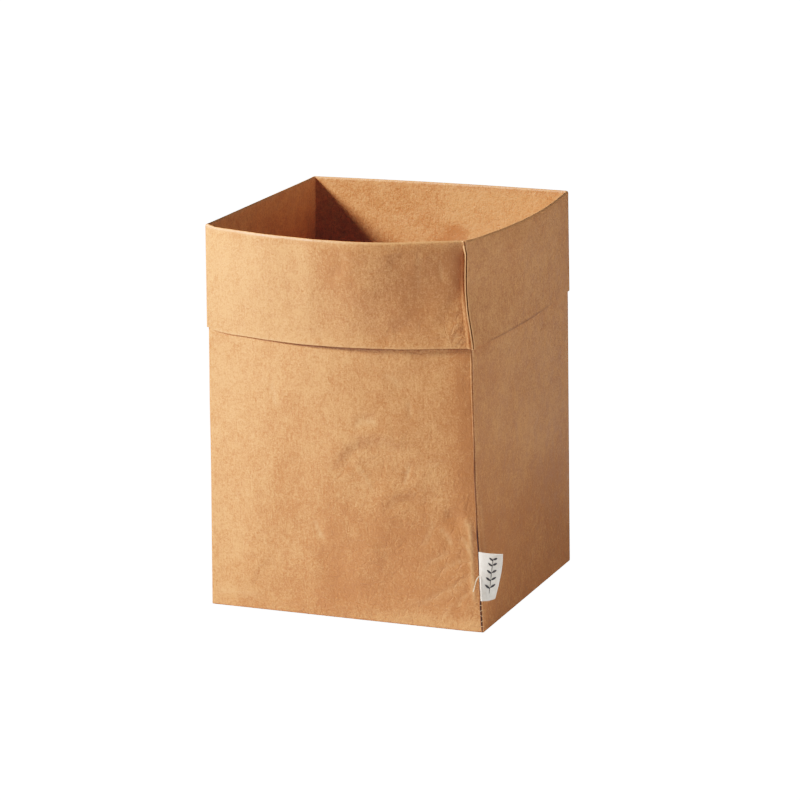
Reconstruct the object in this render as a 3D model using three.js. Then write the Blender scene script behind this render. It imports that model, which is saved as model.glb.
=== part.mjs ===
// An open storage bag of washable kraft paper. The walls are one sheet, sewn into a square tube by a
// seam at the front right corner, and the top of the sheet is folded outwards and down as a cuff.
// On the wall the seam allowance stands inside the bag; on the cuff, which shows the sheet's inner
// side, the same allowance stands outside. A small cloth label is caught in the seam near the base.
//
// Millimetres, +Z up. The origin is on the floor at the middle of the base. -Y is the bowed front
// and +X is the side where the label stands out.
import * as THREE from "three";

// Driving dimensions.
const BASE = 150; // side of the square base
const HEIGHT = 205; // floor to the rim, where the paper folds over
const CUFF = 54.5; // depth of the cuff at its corners
const CUFF_SAG = 1.2; // how much deeper the cuff is at the middle of the front
const CUFF_SKEW = 0.8; // how much shallower it is at the sewn corner
const PAPER = 0.6; // thickness of the paper
const AIR = 0.7; // air between wall and cuff at the corners
const ALLOWANCE = 5.5; // how far the seam allowance stands out
const CREASE = 1.2; // outer radius of the three creased corners
const SEAM_CORNER = 2; // outer radius of the sewn corner
const GROOVE = 1.1; // depth of the groove where the two edges are sewn together
const DENT = 0.3; // what is left of the groove where the allowance spreads it
const FOLD_RADIUS = PAPER + AIR / 2; // outer radius of the fold at the rim

// The paper has relaxed as the bag stands open: the front bulges, and the sewn corner leans in.
// A belly is a panel's bow below the cuff, and a flare is what that bow gains towards the rim.
const BELLY = { right: 2.5, back: 0.8, left: 0.8, front: 14 };
const FLARE = { right: 4, back: 2, left: 0, front: 8 };
const BELLY_RISE = 55; // height over which the belly grows from the straight base
const FLARE_START = 140; // height where the walls begin to flare
const SEAM_LEAN = 6; // lean of the sewn corner below the cuff
const SEAM_FLARE = 5; // what that lean gains behind the cuff
const SEAM_FLARE_END = 185; // height where it has gained all of it
const CORNER_SHIFT = { backRight: [-4, -0.5], backLeft: [0.5, -0.5], frontLeft: [-1, 0] }; // at the rim
const RIM_LIFT = { frontRight: -1.3, backRight: 1, backLeft: 0, frontLeft: -1.3 };

// How the cuff's lower edge stands off the wall: at mid panel, and at the sewn corner.
const STAND_OFF = { right: 1.8, back: 0.8, left: 0.4, front: 1.7 };
const SEAM_STAND_OFF = 1;
const SEAM_SHIFT = [-1.6, -4.4]; // the stiff allowance also pulls the cuff's sewn corner forwards

// The label, a folded cloth tape.
const LABEL_WIDTH_HIGH = 12.8; // how far its upper edge stands out of the seam
const LABEL_WIDTH_LOW = 9.5; // the same for its lower edge: the tape is sewn in askew
const LABEL_HEIGHT = 25.5;
const LABEL_THICKNESS = 0.8;
const LABEL_FOOT = 17; // height of its lower edge above the floor
const LABEL_GAP = 0.4; // clearance between the label and the paper of the seam
const LABEL_TURN_LOW = 60; // degrees from +X towards +Y
const LABEL_TURN_HIGH = 4;
const LABEL_CURL = 0.7; // sideways curl of the tape, in millimetres

// Directions in plan, in degrees from -Y towards +X.
const GROOVE_TURN = 53; // where the groove opens on the wall, and the allowance points the other way
const FIN_TURN_LOW = 35; // where the allowance points on the cuff
const FIN_TURN_HIGH = 42;
const FIN_RISE = 9; // distance from the rim over which the allowance opens to its full width
const FIN_FOOT = 3; // height of the allowance's lower end inside, above the base

// Mesh density.
const PANEL_STEPS = { right: 12, back: 10, left: 10, front: 18 };
const CREASE_STEPS = 2;
const LABEL_STEPS = [6, 1, 8]; // across, through and up
const FOLD_STEPS = 4;
const WALL_LEVELS = [4, 14, 28, 46, 66, 88, 110, 130, 146, 158, 170, 181, 190, 197, 201];
const CUFF_SHARES = [0.05, 0.12, 0.22, 0.4, 0.6, 0.8, 1]; // of the cuff's depth, from the rim down

const { degToRad, lerp, smoothstep } = THREE.MathUtils;
const plan = (turn) => [Math.sin(degToRad(turn)), -Math.cos(degToRad(turn))];
const turnOf = ([x, y]) => THREE.MathUtils.radToDeg(Math.atan2(x, -y));
const belly = (z) => 1 - Math.exp(-z / BELLY_RISE);
const flare = (z) => smoothstep(z, FLARE_START, HEIGHT);
const seamLean = (z) => SEAM_LEAN * belly(z) + SEAM_FLARE * smoothstep(z, FLARE_START, SEAM_FLARE_END);

// The corners' centres in plan at a height, in the order in which the panels meet them. `pull` is
// how much of the cuff's forward shift the sewn corner has there, from 0 to 1.
function corners(z, pull = 0) {
  const share = z / HEIGHT;
  const half = BASE / 2;
  const seam = [half - SEAM_CORNER - seamLean(z), -half + SEAM_CORNER - share];
  const creased = (sideX, sideY, [dx, dy]) => [
    sideX * (half - CREASE) + dx * share,
    sideY * (half - CREASE) + dy * share,
  ];
  return {
    frontRight: [seam[0] + SEAM_SHIFT[0] * pull, seam[1] + SEAM_SHIFT[1] * pull],
    backRight: creased(1, 1, CORNER_SHIFT.backRight),
    backLeft: creased(-1, 1, CORNER_SHIFT.backLeft),
    frontLeft: creased(-1, -1, CORNER_SHIFT.frontLeft),
  };
}

const PANELS = [
  { name: "right", from: "frontRight", to: "backRight" },
  { name: "back", from: "backRight", to: "backLeft" },
  { name: "left", from: "backLeft", to: "frontLeft" },
  { name: "front", from: "frontLeft", to: "frontRight" },
];
const bow = (panel, z) => BELLY[panel.name] * belly(z) + FLARE[panel.name] * flare(z);

// A panel's centre line in plan is a sine arch over the line between its two corners.
// Returns the point at a share s along the panel, and the outward direction there.
function alongPanel(panel, s, z, pull) {
  const centres = corners(z, pull);
  const [ax, ay] = centres[panel.from];
  const [bx, by] = centres[panel.to];
  const [dx, dy] = [bx - ax, by - ay];
  const chord = Math.hypot(dx, dy);
  const [nx, ny] = [dy / chord, -dx / chord];
  const rise = bow(panel, z) * Math.sin(Math.PI * s);
  const slope = (bow(panel, z) * Math.PI * Math.cos(Math.PI * s)) / chord;
  const length = Math.hypot(1, slope);
  return {
    point: [ax + dx * s + nx * rise, ay + dy * s + ny * rise],
    out: [(nx - (slope * dx) / chord) / length, (ny - (slope * dy) / chord) / length],
  };
}

// The columns of the mesh run anticlockwise round the bag, seen from above: the four panels with a
// crease after each of the first three, and the four points of the seam after the last.
const steps = (count, make) => Array.from({ length: count }, (_, i) => make(i));
const panelColumns = (panel) => {
  const count = PANEL_STEPS[panel.name];
  return steps(count + 1, (i) => ({ kind: "panel", panel, s: i / count }));
};
const creaseColumns = (panel, next) =>
  steps(CREASE_STEPS, (i) => ({ kind: "crease", panel, next, s: (i + 1) / (CREASE_STEPS + 1) }));
const COLUMNS = [
  ...PANELS.flatMap((panel, i) => [
    ...panelColumns(panel),
    ...(i < 3 ? creaseColumns(panel, PANELS[i + 1]) : []),
  ]),
  ...steps(4, (corner) => ({ kind: "seam", corner })),
];

// How high the rim is above its nominal height at a column.
function rimLift(column) {
  if (column.kind === "seam") return RIM_LIFT.frontRight;
  if (column.kind === "crease") return RIM_LIFT[column.panel.to];
  return lerp(RIM_LIFT[column.panel.from], RIM_LIFT[column.panel.to], column.s);
}

// How far a column is from its panel's ends: 0 at a corner and 1 at mid panel.
const middle = (column) => (column.kind === "panel" ? Math.sin(Math.PI * column.s) : 0);

// How near a column is to the sewn corner: 1 there, and 0 at the panels' other ends.
function nearSeam(column) {
  if (column.kind === "seam") return 1;
  if (column.kind === "crease") return 0;
  if (column.panel.to === "frontRight") return column.s;
  return column.panel.from === "frontRight" ? 1 - column.s : 0;
}

// The seam's section is four points by the corner's centre: how far out each lies along the seam's
// direction, and how far to the side. `radius` is the paper's own radius there, and `fin` is how far
// the allowance stands out of it, inwards if negative. Without a fin the section is a groove.
function seamSection(radius, fin, groove) {
  const root = Math.sqrt(Math.max(radius ** 2 - PAPER ** 2, 0));
  const tip = fin >= 0 ? root + fin : fin;
  const share = Math.min(Math.abs(fin) / PAPER, 1);
  const far = lerp(radius - groove, tip, share);
  const spread = lerp(PAPER / 4, PAPER, share);
  return [
    [root, -PAPER],
    [far, -spread],
    [far, spread],
    [root, PAPER],
  ];
}

// A point of the paper: a column at a height, `offset` outside the wall's outer face.
function paperPoint(column, z, offset, seam) {
  if (column.kind === "seam") {
    const [cx, cy] = corners(z, seam.pull).frontRight;
    const [outX, outY] = plan(seam.turn);
    const [far, side] = seamSection(SEAM_CORNER + offset, seam.fin, seam.groove)[column.corner];
    return [cx + outX * far - outY * side, cy + outY * far + outX * side];
  }
  if (column.kind === "crease") {
    const before = alongPanel(column.panel, 1, z).out;
    const after = alongPanel(column.next, 0, z).out;
    const from = turnOf(before);
    const turned = (turnOf(after) - from + 360) % 360;
    const [x, y] = plan(from + turned * column.s);
    const [cx, cy] = corners(z)[column.panel.to];
    return [cx + x * (CREASE + offset), cy + y * (CREASE + offset)];
  }
  const { point, out } = alongPanel(column.panel, column.s, z, seam.pull);
  const radius = lerp(CREASE, SEAM_CORNER, nearSeam(column)) + offset;
  return [point[0] + out[0] * radius, point[1] + out[1] * radius];
}

// One ring of the sheet. `height` and `offset` are functions of the column, and `seam` holds the
// seam's direction, its fin, its groove and the pull on its corner.
function ring(height, offset, seam) {
  return COLUMNS.map((column) => {
    const z = height(column);
    const [x, y] = paperPoint(column, z, offset(column), seam);
    return new THREE.Vector3(x, y, z);
  });
}

const finShare = (below) => smoothstep(below, 0, FIN_RISE);
const wallHeight = (level) => (column) => level * (1 + rimLift(column) / HEIGHT);

function wallRing(level, offset, inside) {
  const fin = inside && level > FIN_FOOT ? -ALLOWANCE * finShare(HEIGHT - level) : 0;
  return ring(wallHeight(level), () => offset, { turn: GROOVE_TURN, fin, groove: GROOVE, pull: 0 });
}

function cuffRing(share, outside) {
  const sag = (column) => (column.panel?.name === "front" ? CUFF_SAG * middle(column) : 0);
  const depth = (column) => CUFF + sag(column) - CUFF_SKEW * nearSeam(column) ** 2;
  const free = (column) => {
    const panel = (STAND_OFF[column.panel?.name] ?? 0) * middle(column);
    return panel + SEAM_STAND_OFF * nearSeam(column) ** 2;
  };
  const offset = (column) => AIR + free(column) * share + (outside ? PAPER : 0);
  const height = (column) => HEIGHT + rimLift(column) - lerp(FOLD_RADIUS, depth(column), share);
  const turn = lerp(FIN_TURN_HIGH, FIN_TURN_LOW, share);
  const fin = outside ? ALLOWANCE * finShare(CUFF * share) : 0;
  return ring(height, offset, { turn, fin, groove: DENT, pull: share });
}

// The rim's fold: a half circle over the wall's top, from the inner to the outer side or back.
function foldRings(radius, outwards) {
  const rings = [];
  for (let i = 1; i < FOLD_STEPS; i++) {
    const angle = Math.PI * (outwards ? 1 - i / FOLD_STEPS : i / FOLD_STEPS);
    const height = (column) => HEIGHT + rimLift(column) - FOLD_RADIUS + radius * Math.sin(angle);
    const offset = AIR / 2 + radius * Math.cos(angle);
    const turn = lerp(FIN_TURN_HIGH, GROOVE_TURN, (1 - Math.cos(angle)) / 2);
    rings.push(ring(height, () => offset, { turn, fin: 0, groove: DENT, pull: 0 }));
  }
  return rings;
}

// Joins rings of equal length into a closed surface with a flat fan over the first and the last.
function loft(rings, firstCentre, lastCentre) {
  const count = rings[0].length;
  const points = rings.flat();
  const triangles = [];
  const at = (row, column) => row * count + (column % count);
  const first = points.push(firstCentre) - 1;
  const last = points.push(lastCentre) - 1;
  const end = rings.length - 1;
  for (let column = 0; column < count; column++) {
    triangles.push(first, at(0, column), at(0, column + 1));
    for (let row = 0; row < end; row++) {
      const [a, b] = [at(row, column), at(row + 1, column)];
      const [c, d] = [at(row + 1, column + 1), at(row, column + 1)];
      triangles.push(a, b, c, a, c, d);
    }
    triangles.push(at(end, column), last, at(end, column + 1));
  }
  const geometry = new THREE.BufferGeometry().setFromPoints(points);
  geometry.setIndex(triangles);
  geometry.computeVertexNormals();
  return geometry;
}

// The sheet's rings run from the bag's floor up the inside, over the rim, down and up the two sides
// of the cuff, and down the outside to the underside.
function paperSheet() {
  const inside = WALL_LEVELS.map((level) => wallRing(level, -PAPER, true));
  const outside = WALL_LEVELS.map((level) => wallRing(level, 0, false)).reverse();
  const underside = { turn: GROOVE_TURN, fin: 0, groove: DENT, pull: 0 };
  const rings = [
    wallRing(PAPER, -PAPER, true),
    ...inside,
    ...foldRings(FOLD_RADIUS, true),
    ...CUFF_SHARES.map((share) => cuffRing(share, true)),
    ...CUFF_SHARES.map((share) => cuffRing(share, false)).reverse(),
    ...foldRings(AIR / 2, false),
    ...outside,
    wallRing(PAPER, 0, false),
    ring(() => 0, () => -PAPER, underside),
  ];
  return loft(rings, new THREE.Vector3(0, 0, PAPER), new THREE.Vector3(0, 0, 0));
}

// The label is a thin box that narrows downwards, bent so that its lower end turns towards the right
// panel. Its width is 1 at first, so that a point's place across it is a share of the width.
function clothLabel() {
  const box = new THREE.BoxGeometry(1, LABEL_THICKNESS, LABEL_HEIGHT, ...LABEL_STEPS);
  const place = box.getAttribute("position");
  const [grooveX, grooveY] = plan(GROOVE_TURN);
  const start = SEAM_CORNER + LABEL_GAP + LABEL_THICKNESS / 2;
  for (let i = 0; i < place.count; i++) {
    const across = place.getX(i) + 0.5;
    const through = place.getY(i);
    const share = place.getZ(i) / LABEL_HEIGHT + 0.5;
    const z = LABEL_FOOT + share * LABEL_HEIGHT;
    const along = across * lerp(LABEL_WIDTH_LOW, LABEL_WIDTH_HIGH, share);
    const turn = degToRad(lerp(LABEL_TURN_LOW, LABEL_TURN_HIGH, share));
    const aside = through - LABEL_CURL * Math.sin(Math.PI * across);
    const [cx, cy] = corners(z).frontRight;
    const x = cx + grooveX * start + Math.cos(turn) * along - Math.sin(turn) * aside;
    const y = cy + grooveY * start + Math.sin(turn) * along + Math.cos(turn) * aside;
    place.setXYZ(i, x, y, z);
  }
  box.computeVertexNormals();
  return box;
}

function mesh(name, geometry, material) {
  const made = new THREE.Mesh(geometry, new THREE.MeshStandardMaterial(material));
  made.name = name;
  return made;
}

const bag = new THREE.Group();
bag.add(mesh("paper_bag", paperSheet(), { color: 0xc8915c, roughness: 0.85, metalness: 0 }));
bag.add(mesh("cloth_label", clothLabel(), { color: 0xe9e6de, roughness: 0.9, metalness: 0 }));

export default bag;
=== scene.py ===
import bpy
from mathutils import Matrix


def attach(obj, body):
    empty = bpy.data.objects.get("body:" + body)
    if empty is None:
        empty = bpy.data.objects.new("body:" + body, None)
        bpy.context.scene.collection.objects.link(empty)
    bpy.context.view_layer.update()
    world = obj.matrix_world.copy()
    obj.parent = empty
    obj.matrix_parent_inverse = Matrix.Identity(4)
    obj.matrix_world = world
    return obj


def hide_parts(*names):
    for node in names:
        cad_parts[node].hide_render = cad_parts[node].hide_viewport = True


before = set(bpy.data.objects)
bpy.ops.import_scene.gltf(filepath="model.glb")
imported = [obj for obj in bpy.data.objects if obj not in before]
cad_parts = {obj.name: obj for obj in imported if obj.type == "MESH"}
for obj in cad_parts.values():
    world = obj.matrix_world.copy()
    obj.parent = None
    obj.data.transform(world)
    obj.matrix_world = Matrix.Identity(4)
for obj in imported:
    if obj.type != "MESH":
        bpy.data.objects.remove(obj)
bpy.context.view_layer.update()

import math

import bpy
import numpy as np
from mathutils import Matrix, Vector, noise

MM = 0.001

# ---- Camera ----

VIEW_TURN, VIEW_RISE, VIEW_ROLL = 19.65, 12.89, 0.27  # degrees
VIEW_DISTANCE, VIEW_AIM = 2117, (2.3, 0, 100.7)


def direction(turn, rise):
    """The way out at a turn (from the front towards +X) and a rise, both in degrees."""
    turn, rise = math.radians(turn), math.radians(rise)
    return Vector((math.sin(turn) * math.cos(rise), -math.cos(turn) * math.cos(rise), math.sin(rise)))


def add_camera():
    turn, roll = math.radians(VIEW_TURN), math.radians(VIEW_ROLL)
    back = direction(VIEW_TURN, VIEW_RISE)
    right = Vector((math.cos(turn), math.sin(turn), 0))
    up = back.cross(right)
    side = right * math.cos(roll) + up * math.sin(roll)
    top = up * math.cos(roll) - right * math.sin(roll)
    place = Matrix((side, top, back)).transposed().to_4x4()
    place.translation = (Vector(VIEW_AIM) + back * VIEW_DISTANCE) * MM
    bpy.ops.object.camera_add()
    camera = bpy.context.object
    camera.name = "photo_camera"
    camera.matrix_world = place
    camera.data.sensor_width = 36
    camera.data.lens = 178.8
    camera.data.shift_x = 0.0005
    camera.data.clip_start, camera.data.clip_end = 0.05, 50
    bpy.context.scene.camera = camera


# ---- The sheet's shape ----

# The main sizes are those of the part's source. The creases, the sewn corner and the way the cuff lies
# against the wall are set closer to the photograph here.
BASE, HEIGHT, CUFF = 150, 205, 54.5
CUFF_SAG, CUFF_SKEW = 1.2, -0.8
PAPER, AIR = 0.6, 0.7
ALLOWANCE = 5.5
CREASE, SEAM_CORNER = 0.7, 2.0
BELLY = {"right": 2.5, "back": 0.8, "left": 0.8, "front": 14}
FLARE = {"right": 4, "back": 2, "left": 0, "front": 8}
BELLY_RISE, FLARE_START = 55, 140
SEAM_LEAN, SEAM_FLARE, SEAM_FLARE_END = 6, 5, 185
CORNER_SHIFT = {"backRight": (-4, -0.5), "backLeft": (0.5, -0.5), "frontLeft": (-1, 0)}
RIM_LIFT = {"frontRight": -1.3, "backRight": 1, "backLeft": 0, "frontLeft": -1.3}
SEAM_SHIFT = (-0.9, -0.6)
GROOVE_TURN = 45
FIN_RISE = 9

PANELS = [
    ("right", "frontRight", "backRight"),
    ("back", "backRight", "backLeft"),
    ("left", "backLeft", "frontLeft"),
    ("front", "frontLeft", "frontRight"),
]

# What only the visible sheet has.
SEAM_CORNER_LOW = 1.4  # the sewn corner is sharper below the cuff
CORNER_OUT = {  # how far a corner stands out towards +X at a few heights
    "frontRight": ((0, 18, 43, 50, 80, 100, 120, 140, 205), (1.4, 1.7, 1.7, 1.3, 0.5, 0.2, -0.4, -0.7, -0.5)),
    "backRight": ((0, 147, 205), (0.65, 0.35, -0.45)),
    "backLeft": ((0, 205), (0, 0)),
    "frontLeft": ((0, 80, 110, 205), (-0.55, -0.55, -0.9, -0.85)),
}
SEAM_FOOT = 2.2  # how far the sewn corner stands forward at the base
CREASE_OFF = (-0.3, 0, 0)  # how much further out the cuff's lower edge lies at the three creases
LIP_LOW, LIP_HIGH = 0.45, 0.15  # depth of the groove between the sewn edges, low and high on the wall
LAYER_ROOT, LAYER_TIP = 0.31, 0.62  # half distance between the allowance's layers, at its foot and edge
RIM_ROLL_LEFT, RIM_ROLL_RIGHT = 2.4, 1.2  # how tall the soft roll at the rim is, on the front
FOOT_ROUND = 0.5  # radius where the walls turn into the base
EDGE_CURL = 0.4  # how far the cuff's lower edge curls out on the front
EDGE_STRIP = 4.2  # how high the curled strip is
EDGE_OFF = {"right": 1.4, "back": 0.6, "left": 0.2}  # how far the cuff's edge is held off a wall's middle
SEAM_OFF = 0.5  # how far it is held off the sewn corner
FRONT_GAP = 0.1  # between it and the front's wall, before it curls out
LEAN_IN = 0.3  # how far the cuff leans in towards its lower edge where nothing holds it off
SEAM_DIP = 0.55  # how far the front's paper dips towards the seam
FIN_TURN, FIN_TURN_FOOT = 26, 32  # which way the cuff's allowance points, and at its lower end
FIN_SWAY = 9  # how far it turns from there as it wanders
FIN_BACK = 0.8  # how wide its back layer is beside its front layer
WALL_SWAY = 0.35  # how far the allowance inside sways
FIN_ROOT, FIN_ROOT_LOW = 1.8, 2.8  # how far out from the corner its stitches are, near the rim and lower down
FIN_LOW, FIN_HIGH = 0.5, 0.54  # share of the allowance that stands free, at the cuff's edge and near the rim
RIM_DIP, RIM_STEP = 0.85, 0.6  # the front rim hangs at its left end and rises at its right end
CUFF_DEEPER = 0.8  # how much deeper the cuff is towards its left end
# Where the front's bow is uneven near the rim: place, width, height.
FRONT_BEND = [(0.43, 0.12, -1.1), (0.64, 0.09, 0.6)]
CUFF_BEND, CUFF_BEND_SLOPE = (0.42, 0.475), 0.07  # a soft bend up the cuff: place low and high, slope


def mix(a, b, t):
    return a + (b - a) * t


def smooth(x, low, high):
    t = np.clip((x - low) / (high - low), 0, 1)
    return t * t * (3 - 2 * t)


def belly(z):
    return 1 - np.exp(-np.maximum(z, 0) / BELLY_RISE)


def seam_lean(z):
    return SEAM_LEAN * belly(z) + SEAM_FLARE * smooth(z, FLARE_START, SEAM_FLARE_END)


def seam_round(z):
    return mix(SEAM_CORNER_LOW, SEAM_CORNER, smooth(z, 110, 148))


def corner(name, z, down):
    """A corner's centre in plan at a height, and at a share of the way down the cuff."""
    share, half = z / HEIGHT, BASE / 2 + 0 * z
    out = np.interp(z, *CORNER_OUT[name])
    if name == "frontRight":
        x = half - seam_round(z) - seam_lean(z) + SEAM_SHIFT[0] * down + out
        y = -half + seam_round(z) - share + SEAM_SHIFT[1] * down - SEAM_FOOT * (1 - smooth(z, 0, 70))
        return x, y
    side_x = 1 if name == "backRight" else -1
    side_y = -1 if name == "frontLeft" else 1
    dx, dy = CORNER_SHIFT[name]
    return side_x * (half - CREASE) + dx * share + out, side_y * (half - CREASE) + dy * share


def along_panel(panel, s, z, down):
    """A point of a panel's centre line at a share s along it, and the outward direction there."""
    name, start, end = panel
    ax, ay = corner(start, z, down)
    bx, by = corner(end, z, down)
    dx, dy = bx - ax, by - ay
    chord = np.hypot(dx, dy)
    nx, ny = dy / chord, -dx / chord
    bow = BELLY[name] * belly(z) + FLARE[name] * smooth(z, FLARE_START, HEIGHT)
    rise = bow * np.sin(np.pi * s)
    if name == "front":
        near_rim = smooth(z, 130, 175)
        rise = rise + near_rim * sum(h * math.exp(-(((s - place) / w) ** 2)) for place, w, h in FRONT_BEND)
        beside = s - mix(*CUFF_BEND, smooth(z, 145, 205))
        bend = np.hypot(beside * BASE, 2.5) * np.exp(-((beside / 0.14) ** 2))
        rise = rise - near_rim * CUFF_BEND_SLOPE * bend
    slope = bow * np.pi * np.cos(np.pi * s) / chord
    length = np.hypot(1, slope)
    out_x, out_y = (nx - slope * dx / chord) / length, (ny - slope * dy / chord) / length
    return ax + dx * s + nx * rise, ay + dy * s + ny * rise, out_x, out_y


# ---- The sheet's grid ----


def spread(count, at_start, start_reach, at_end, end_reach, later=0):
    """Shares from 0 to 1 in `count` steps, which lie closer together at both ends, and later on."""

    def density(s):
        ends = at_start * np.exp(-s / start_reach), at_end * np.exp(-(1 - s) / end_reach)
        return 1 + later * smooth(s, 0.4, 0.8) + ends[0] + ends[1]

    fine = np.linspace(0, 1, 400)
    total = np.concatenate([[0], np.cumsum(density((fine[1:] + fine[:-1]) / 2))])
    return np.interp(np.linspace(0, 1, count + 1), total / total[-1], fine)


# How many steps, and how much closer they lie at the start and at the end, each within a reach.
PANEL_STEPS = {
    "right": (60, 1.5, 0.06, 1.2, 0.04),
    "back": (38, 1.2, 0.04, 1.2, 0.04),
    "left": (36, 1.2, 0.04, 1.2, 0.04),
    "front": (118, 1.2, 0.03, 1.8, 0.05, 0.5),
}
CUFF_STEPS = (41, 1.4, 0.05, 1.4, 0.06)
CUFF_START = 0.075  # share of the cuff's depth that the roll at the rim takes
FLAP_WIDTHS = [5.5, 4.6, 3.4, 2.2, 1.2, 0.5]
SEAM_TURNS = 5
CREASE_TURNS = 3


def seam_end(side):
    """The columns from a raw edge of the seam to where its panel begins."""
    flap = [{"kind": "flap", "side": side, "width": w} for w in FLAP_WIDTHS]
    return flap + [{"kind": "turn", "side": side, "share": 1 - i / SEAM_TURNS} for i in range(SEAM_TURNS)]


def sheet_columns():
    """The grid's columns, from one raw edge of the seam round the bag to the other."""
    columns = seam_end(1)
    for number, panel in enumerate(PANELS):
        columns += [{"kind": "panel", "panel": number, "s": s} for s in spread(*PANEL_STEPS[panel[0]])]
        if number < 3:
            turned = [(i + 1) / (CREASE_TURNS + 1) for i in range(CREASE_TURNS)]
            columns += [{"kind": "crease", "panel": number, "share": share} for share in turned]
    return columns + seam_end(-1)[::-1]


def sheet_rows():
    """The grid's rows, from the middle of the base up the wall, over the rim and down the cuff."""
    rows = [{"kind": "base", "share": t} for t in (0, 0.25, 0.5, 0.72, 0.86, 0.95)]
    rows += [{"kind": "foot", "angle": a} for a in (90, 68, 46, 23)]
    for levels in ((1.2, 2.5, 0.9), (3.2, 11, 1.3), (12, 143, 1.95), (143.4, 154, 0.55), (155, 202, 4)):
        rows += [{"kind": "wall", "level": z} for z in np.arange(*levels)]
    rows += [{"kind": "fold", "angle": a} for a in (180, 158, 136, 113, 90, 67, 45, 22, 0)]
    return rows + [{"kind": "cuff", "share": mix(CUFF_START, 1, s)} for s in spread(*CUFF_STEPS)]


COLUMNS, ROWS = sheet_columns(), sheet_rows()
COUNT = (len(ROWS), len(COLUMNS))


def per_column(read):
    return np.array([float(read(c)) for c in COLUMNS])[None, :]


def per_row(read):
    return np.array([float(read(r)) for r in ROWS])[:, None]


def is_panel(name):
    return per_column(lambda c: c["kind"] == "panel" and PANELS[c["panel"]][0] == name)


def near_seam(c):
    if c["kind"] in ("flap", "turn"):
        return 1
    if c["kind"] == "crease":
        return 0
    return {3: c["s"], 0: 1 - c["s"]}.get(c["panel"], 0)


def rim_lift(c):
    if c["kind"] in ("flap", "turn"):
        return RIM_LIFT["frontRight"] + RIM_STEP
    panel = PANELS[c["panel"]]
    if c["kind"] == "crease":
        return RIM_LIFT[panel[2]]
    s, lift = c["s"], mix(RIM_LIFT[panel[1]], RIM_LIFT[panel[2]], c["s"])
    if panel[0] == "front":
        lift += RIM_STEP * smooth(s, 0.76, 0.96) - RIM_DIP * s / 0.05 * math.exp(1 - s / 0.05)
    if panel[0] == "left":
        lift -= 0.5 * math.sin(math.pi * s) ** 0.5
    return lift + RIM_STEP * math.exp(-s / 0.05) if panel[0] == "right" else lift


def mid_panel(c):
    return math.sin(math.pi * c["s"]) if c["kind"] == "panel" else 0


NEAR, LIFT, MIDDLE = per_column(near_seam), per_column(rim_lift), per_column(mid_panel)
SHARE = per_column(lambda c: c.get("s", 0))
FRONT, RIGHT, LEFT = is_panel("front"), is_panel("right"), is_panel("left")


def stand_off(c):
    """How much further out the cuff lies at its lower edge than at the rim."""
    if c["kind"] != "panel":
        return CREASE_OFF[c["panel"]] if c["kind"] == "crease" else SEAM_OFF
    name, s = PANELS[c["panel"]][0], c["s"]
    if name == "front":
        return FRONT_GAP - AIR + LEAN_IN + 0.15 * smooth(s, 0.94, 1)
    return EDGE_OFF[name] * mid_panel(c) + SEAM_OFF * near_seam(c) ** 2


OFF_EDGE = per_column(stand_off)
DIP = SEAM_DIP * FRONT * smooth(SHARE, 0.94, 1.005) ** 1.5
KIND = np.array([r["kind"] for r in ROWS])[:, None]
ON_CUFF, ON_FOLD, ON_WALL = KIND == "cuff", KIND == "fold", KIND == "wall"
ON_FOOT, ON_BASE = KIND == "foot", KIND == "base"
DOWN = per_row(lambda r: r["share"] if r["kind"] == "cuff" else 0)  # share of the cuff, from the rim down
LEVEL = per_row(lambda r: r.get("level", 0))
ANGLE = np.radians(per_row(lambda r: r.get("angle", 0)))


def sheet_heights():
    roll = np.where(FRONT > 0, mix(RIM_ROLL_LEFT, RIM_ROLL_RIGHT, SHARE), RIM_ROLL_RIGHT)
    roll = np.where(LEFT > 0, mix(RIM_ROLL_RIGHT, RIM_ROLL_LEFT, SHARE), roll)
    sag = CUFF_SAG * MIDDLE * FRONT
    deeper = CUFF_DEEPER * FRONT * smooth(SHARE, 0, 0.12) * smooth(1 - SHARE, 0.3, 0.75)
    depth = CUFF + sag + deeper - CUFF_SKEW * NEAR**2
    z = np.where(ON_WALL, LEVEL * (1 + LIFT / HEIGHT), 0)
    z = np.where(ON_FOLD, HEIGHT + LIFT - PAPER / 2 - roll + roll * np.sin(ANGLE), z)
    z = np.where(ON_CUFF, HEIGHT + LIFT - mix(0.95, depth, DOWN), z)
    z = np.where(ON_FOOT, PAPER / 2 + FOOT_ROUND * (1 - np.sin(ANGLE)), z)
    return np.where(ON_BASE, PAPER / 2, z) + 0 * LIFT


def sheet_offsets():
    """How far the middle of the paper's thickness lies outside the wall's outer face."""
    off = np.where(ON_WALL, -PAPER / 2, 0) + 0 * LIFT
    off = np.where(ON_FOLD, AIR / 2 + 0.65 * np.cos(ANGLE), off)
    off = np.where(ON_CUFF, AIR + PAPER / 2 + (OFF_EDGE - LEAN_IN) * DOWN, off)
    off = np.where(ON_FOOT, -PAPER / 2 - FOOT_ROUND * (1 - np.cos(ANGLE)), off)
    return np.where(ON_BASE, -PAPER / 2 - FOOT_ROUND, off)


Z, OFF = sheet_heights(), sheet_offsets()
ACROSS = SHARE * BASE + 0 * Z
EDGE_LINE = np.exp(-(((DOWN - 1) * CUFF / 0.8) ** 2))  # 1 on the cuff's lower edge, and soon 0 above it


def beside_seam(side, z, down):
    """A panel's end at the sewn corner: the right one's for a positive side, or else the front's."""
    return along_panel(PANELS[0], 0, z, down) if side > 0 else along_panel(PANELS[3], 1, z, down)


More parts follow.
